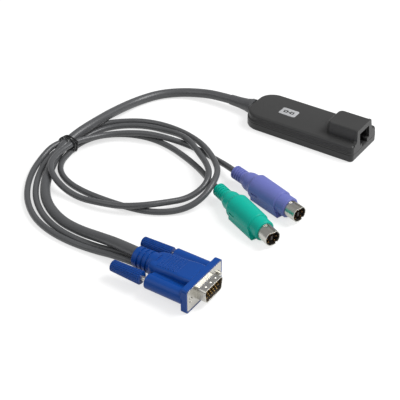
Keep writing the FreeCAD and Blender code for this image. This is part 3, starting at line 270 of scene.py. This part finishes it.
# Control points of the cables: the routes of their solids, with about two thirds of
# the points moved to follow the photograph.
MAIN_POINTS = (
    (-0.0575, 0.0, 0.0056),
    (-0.0690, -0.0004, 0.0054),
    (-0.0815, -0.0022, 0.0040),
    (-0.0936, -0.0076, 0.0031),
    (-0.1037, -0.0178, 0.0030),
    (-0.1102, -0.0332, 0.0030),
    (-0.1116, -0.0547, 0.0056),
    (-0.1115, -0.0756, 0.0075),
    (-0.1121, -0.0906, 0.0076),
    (-0.1124, -0.1024, 0.0059),
    (-0.1111, -0.1142, 0.0033),
    (-0.1041, -0.1283, 0.0030),
    (-0.0952, -0.1427, 0.0030),
    (-0.0836, -0.1541, 0.0030),
    (-0.0674, -0.1620, 0.0030),
    (-0.0516, -0.1642, 0.0036),
    (-0.0356, -0.1656, 0.0064),
    (-0.0215, -0.1677, 0.0095),
    (-0.0086, -0.1686, 0.0100),
)

MOUSE_POINTS = (
    (-0.0086, -0.1718, 0.0052),
    (-0.0205, -0.1719, 0.0046),
    (-0.0350, -0.1725, 0.0023),
    (-0.0510, -0.1736, 0.0019),
    (-0.0670, -0.1723, 0.0019),
    (-0.0820, -0.1673, 0.0019),
    (-0.0954, -0.1579, 0.0019),
    (-0.1058, -0.1458, 0.0019),
    (-0.1138, -0.1319, 0.0019),
    (-0.1179, -0.1192, 0.0024),
    (-0.1186, -0.1086, 0.0049),
    (-0.1164, -0.0991, 0.0047),
    (-0.1159, -0.0875, 0.0031),
    (-0.1152, -0.0749, 0.0019),
    (-0.1104, -0.0634, 0.0019),
    (-0.1025, -0.0557, 0.0019),
    (-0.0925, -0.0489, 0.0019),
    (-0.0790, -0.0453, 0.0019),
    (-0.0630, -0.0461, 0.0022),
    (-0.0477, -0.0523, 0.0042),
    (-0.0350, -0.0615, 0.0072),
    (-0.0236, -0.0710, 0.0086),
    (-0.0152, -0.0805, 0.0102),
    (-0.0106, -0.0917, 0.0108),
    (-0.0096, -0.1022, 0.0078),
    (-0.0129, -0.1118, 0.0042),
    (-0.0206, -0.1197, 0.0019),
    (-0.0316, -0.1271, 0.0019),
    (-0.0450, -0.1303, 0.0019),
    (-0.0609, -0.1318, 0.0019),
    (-0.0759, -0.1318, 0.0019),
    (-0.0889, -0.1294, 0.0019),
    (-0.0999, -0.1232, 0.0019),
    (-0.1061, -0.1145, 0.0019),
    (-0.1082, -0.1039, 0.0022),
    (-0.1089, -0.0950, 0.0030),
    (-0.1066, -0.0830, 0.0026),
    (-0.0997, -0.0727, 0.0019),
    (-0.0896, -0.0663, 0.0019),
    (-0.0770, -0.0629, 0.0019),
    (-0.0622, -0.0639, 0.0019),
    (-0.0460, -0.0689, 0.0019),
    (-0.0320, -0.0749, 0.0019),
    (-0.0215, -0.0827, 0.0040),
    (-0.0136, -0.0892, 0.0064),
    (-0.0073, -0.0922, 0.0068),
)

KEYBOARD_POINTS = (
    (-0.0086, -0.1676, 0.0050),
    (-0.0205, -0.1676, 0.0042),
    (-0.0346, -0.1689, 0.0022),
    (-0.0507, -0.1698, 0.0019),
    (-0.0650, -0.1681, 0.0019),
    (-0.0790, -0.1631, 0.0019),
    (-0.0919, -0.1543, 0.0019),
    (-0.1020, -0.1428, 0.0019),
    (-0.1097, -0.1296, 0.0019),
    (-0.1144, -0.1182, 0.0019),
    (-0.1158, -0.1072, 0.0019),
    (-0.1135, -0.0964, 0.0019),
    (-0.1116, -0.0846, 0.0019),
    (-0.1094, -0.0736, 0.0019),
    (-0.1044, -0.0650, 0.0019),
    (-0.0970, -0.0579, 0.0019),
    (-0.0860, -0.0521, 0.0019),
    (-0.0723, -0.0507, 0.0024),
    (-0.0589, -0.0540, 0.0055),
    (-0.0480, -0.0603, 0.0076),
    (-0.0364, -0.0685, 0.0080),
    (-0.0260, -0.0767, 0.0094),
    (-0.0178, -0.0854, 0.0100),
    (-0.0147, -0.0954, 0.0076),
    (-0.0187, -0.1068, 0.0042),
    (-0.0268, -0.1183, 0.0050),
    (-0.0357, -0.1292, 0.0059),
    (-0.0470, -0.1347, 0.0044),
    (-0.0595, -0.1383, 0.0042),
    (-0.0719, -0.1390, 0.0026),
    (-0.0839, -0.1381, 0.0038),
    (-0.0945, -0.1349, 0.0066),
    (-0.1036, -0.1277, 0.0080),
    (-0.1072, -0.1174, 0.0079),
    (-0.1078, -0.1076, 0.0076),
    (-0.1072, -0.0970, 0.0072),
    (-0.1040, -0.0882, 0.0058),
    (-0.0988, -0.0778, 0.0048),
    (-0.0894, -0.0696, 0.0050),
    (-0.0774, -0.0650, 0.0062),
    (-0.0650, -0.0612, 0.0052),
    (-0.0530, -0.0564, 0.0019),
    (-0.0387, -0.0584, 0.0019),
    (-0.0267, -0.0628, 0.0032),
    (-0.0171, -0.0678, 0.0059),
    (-0.0088, -0.0716, 0.0068),
)


def round_spline(name, points, radius, finish, steps, roundness):
    """A round cord or wire on one smooth spline that has these control points."""
    data = bpy.data.curves.new(name, "CURVE")
    data.dimensions = "3D"
    spline = data.splines.new("NURBS")
    spline.points.add(len(points) - 1)
    for point, place in zip(spline.points, points):
        point.co = (*place, 1.0)
    spline.order_u = 3
    spline.use_endpoint_u = True
    spline.resolution_u = steps
    data.bevel_depth = radius
    data.bevel_resolution = roundness
    data.use_fill_caps = True
    data.materials.append(finish)
    cord = bpy.data.objects.new(name, data)
    scene.collection.objects.link(cord)
    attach(cord, "adapter_and_cables")
    return cord


def lay_cable(name, points, diameter, node):
    """One of the three cables, in place of its plain tube."""
    cable = round_spline(name, points, diameter / 2.0, JACKET, steps=8, roundness=5)
    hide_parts(node)
    return cable


# ---------------------------------------------------------------- wire tie round the bundle

TIE_CENTRE = Vector((-0.1115, -0.0997, 0.0))
TIE_ACROSS = Vector((0.9816, -0.1908, 0.0))
TIE_ALONG = Vector((-TIE_ACROSS.y, TIE_ACROSS.x, 0.0))
TIE_WIRE = 0.00052       # radius of the coated wire
TIE_STEP = 0.0021        # from one turn to the next, along the bundle
TIE_TAIL_RISE = 2.2 * TIE_WIRE
TIE_TURNS = 2
TIE_LOOP = (            # across the bundle, height
    (-0.0076, 0.0029),
    (-0.0077, 0.0057),
    (-0.0024, 0.0100),
    (0.0015, 0.0100),
    (0.0068, 0.0098),
    (0.0067, 0.0070),
    (0.0048, 0.0008),
    (0.0020, 0.0007),
    (-0.0015, 0.0007),
    (-0.0050, 0.0007),
)
TIE_TAIL = (            # across the bundle, height, along it
    (-0.0084, 0.0016, 0.0006),
    (-0.0080, 0.0022, -0.0012),
)


def tie_spot(across, height, along):
    """A place at the tie, from distances across and along the bundle and its height."""
    return TIE_CENTRE + TIE_ACROSS * across + TIE_ALONG * along + Vector((0.0, 0.0, height))


def wind_tie():
    """Coated wire: two snug turns round the cables, its two ends crossed low at the far side."""
    spots = [tie_spot(*place) for place in TIE_TAIL]
    for turn in range(TIE_TURNS):
        for index, (across, height) in enumerate(TIE_LOOP):
            step = turn + index / len(TIE_LOOP) - TIE_TURNS / 2.0
            spots.append(tie_spot(across, height, step * TIE_STEP))
    spots.append(tie_spot(*TIE_LOOP[0], TIE_TURNS / 2.0 * TIE_STEP))
    for across, height, along in reversed(TIE_TAIL):
        spots.append(tie_spot(across, height + TIE_TAIL_RISE, -along))
    tie = round_spline("wire_tie", spots, TIE_WIRE, TIE_COAT, steps=6, roundness=4)
    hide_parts("cable_tie")
    return tie


wire_tie = wind_tie()

main_cable = lay_cable("main_cable_run", MAIN_POINTS, MAIN_DIAMETER, "main_cable")
mouse_lead = lay_cable("mouse_lead", MOUSE_POINTS, LEAD_DIAMETER, "mouse_cable")
keyboard_lead = lay_cable("keyboard_lead", KEYBOARD_POINTS, LEAD_DIAMETER, "keyboard_cable")


# ---------------------------------------------------------------- badge on the deck

SMOOTH_ANGLE = math.radians(30.0)


def settle(obj, name, material):
    """Gives a modelled piece its name, finish and body, with its origin at the world's."""
    obj.name = name
    bpy.ops.object.transform_apply(location=True, rotation=True, scale=True)
    bpy.ops.object.shade_smooth_by_angle(angle=SMOOTH_ANGLE)
    obj.data.materials.append(material)
    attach(obj, "adapter_and_cables")
    bpy.ops.object.select_all(action="DESELECT")


BADGE_MIDDLE = (-0.0132, -0.0016)
BADGE_LENGTH = 0.0116
BADGE_WIDTH = 0.0078
BADGE_FOOT = 0.0109
BADGE_RISE = 0.00034
BADGE_CORNER = 0.0013
BADGE_BORDER = 0.0002     # slope at the edge, up to the face
BADGE_CROWN = 0.00008     # height of that slope
MARK_SIZE = 0.0027
MARK_LINE = 0.0007
MARK_REACH = 0.0022       # from the badge's middle to that of a screen
MARK_RISE = 0.00003


def make_badge():
    """Thin plate in silver paint, with rounded corners and an eased edge."""
    bpy.ops.mesh.primitive_plane_add(size=1.0, location=(*BADGE_MIDDLE, BADGE_FOOT))
    plate = bpy.context.object
    bpy.ops.object.mode_set(mode="EDIT")
    bpy.ops.transform.resize(value=(BADGE_LENGTH, BADGE_WIDTH, 1.0))
    bpy.ops.mesh.bevel(offset=BADGE_CORNER, segments=6, affect="VERTICES")
    bpy.ops.mesh.select_all(action="SELECT")
    bpy.ops.mesh.extrude_region_move(TRANSFORM_OT_translate={"value": (0.0, 0.0, BADGE_RISE)})
    bpy.ops.mesh.inset(thickness=BADGE_BORDER)
    bpy.ops.transform.translate(value=(0.0, 0.0, BADGE_CROWN))
    bpy.ops.mesh.select_all(action="SELECT")
    bpy.ops.mesh.normals_make_consistent(inside=False)
    bpy.ops.object.mode_set(mode="OBJECT")
    settle(plate, "badge_plate", SILVER)


def make_mark():
    """Plain black sign on the plate: two screens joined by a line."""
    top = BADGE_FOOT + BADGE_RISE + BADGE_CROWN
    screens = []
    for side in (-1.0, 1.0):
        bpy.ops.mesh.primitive_plane_add(
            size=MARK_SIZE, location=(BADGE_MIDDLE[0] + side * MARK_REACH, BADGE_MIDDLE[1], top))
        screen = bpy.context.object
        bpy.ops.object.mode_set(mode="EDIT")
        bpy.ops.mesh.inset(thickness=MARK_LINE)
        bpy.ops.mesh.delete(type="FACE")
        bpy.ops.object.mode_set(mode="OBJECT")
        screens.append(screen)
    gap = 2.0 * MARK_REACH - MARK_SIZE
    bpy.ops.mesh.primitive_plane_add(size=1.0, location=(*BADGE_MIDDLE, top))
    line = bpy.context.object
    bpy.ops.object.mode_set(mode="EDIT")
    bpy.ops.transform.resize(value=(gap, MARK_LINE, 1.0))
    bpy.ops.object.mode_set(mode="OBJECT")
    for screen in screens:
        screen.select_set(True)
    bpy.ops.object.join()
    bpy.ops.object.transform_apply(location=True, rotation=True, scale=True)
    bpy.ops.object.mode_set(mode="EDIT")
    bpy.ops.mesh.select_all(action="SELECT")
    bpy.ops.mesh.extrude_region_move(TRANSFORM_OT_translate={"value": (0.0, 0.0, MARK_RISE)})
    bpy.ops.mesh.select_all(action="SELECT")
    bpy.ops.mesh.normals_make_consistent(inside=False)
    bpy.ops.object.mode_set(mode="OBJECT")
    settle(line, "badge_mark", BLACK)


bpy.ops.object.select_all(action="DESELECT")
make_badge()
make_mark()


# ---------------------------------------------------------------- floor and light

FLOOR_SIZE = 6.0
FLOOR_SHADE = 0.42        # what it sends back of the light, so shadows show on it
FLOOR_GLOW = 0.68         # added where the camera or a reflection sees it
ROOM_LIGHT = 0.36

bpy.ops.mesh.primitive_plane_add(size=FLOOR_SIZE, location=(0.0, 0.0, 0.0))
floor = bpy.context.object
floor.name = "floor"
floor_material, floor_tree, floor_shader = new_material("white floor")
floor_shader.inputs["Base Color"].default_value = grey(FLOOR_SHADE)
floor_shader.inputs["Roughness"].default_value = 0.9
floor_shader.inputs["Specular IOR Level"].default_value = 0.0
floor_shader.inputs["Emission Color"].default_value = grey(1.0)
floor_path = floor_tree.nodes.new("ShaderNodeLightPath")
floor_seen = number(floor_tree, "MAXIMUM", floor_path.outputs["Is Camera Ray"],
                    floor_path.outputs["Is Glossy Ray"])
floor_glow = number(floor_tree, "MULTIPLY", floor_seen, FLOOR_GLOW)
feed(floor_tree, floor_glow, floor_shader.inputs["Emission Strength"])
floor.data.materials.append(floor_material)
bpy.ops.object.select_all(action="DESELECT")

world = bpy.data.worlds.new("studio")
scene.world = world
world.use_nodes = True
world.node_tree.nodes["Background"].inputs["Color"].default_value = grey(1.0)
world.node_tree.nodes["Background"].inputs["Strength"].default_value = ROOM_LIGHT


LIGHT_AIM = Vector((-0.02, -0.09, 0.0))


def soft_light(name, place, size, power):
    """A square lamp that faces the middle of the object."""
    data = bpy.data.lights.new(name, "AREA")
    data.shape = "SQUARE"
    data.size = size
    data.energy = power
    lamp = bpy.data.objects.new(name, data)
    scene.collection.objects.link(lamp)
    lamp.location = place
    lamp.rotation_mode = "QUATERNION"
    lamp.rotation_quaternion = (LIGHT_AIM - Vector(place)).to_track_quat("-Z", "Y")


soft_light("high softbox", (0.60, 0.42, 1.05), size=0.7, power=14.0)
soft_light("fill softbox", (-0.3, -0.9, 0.9), size=0.8, power=2.6)

scene.view_settings.view_transform = "Standard"
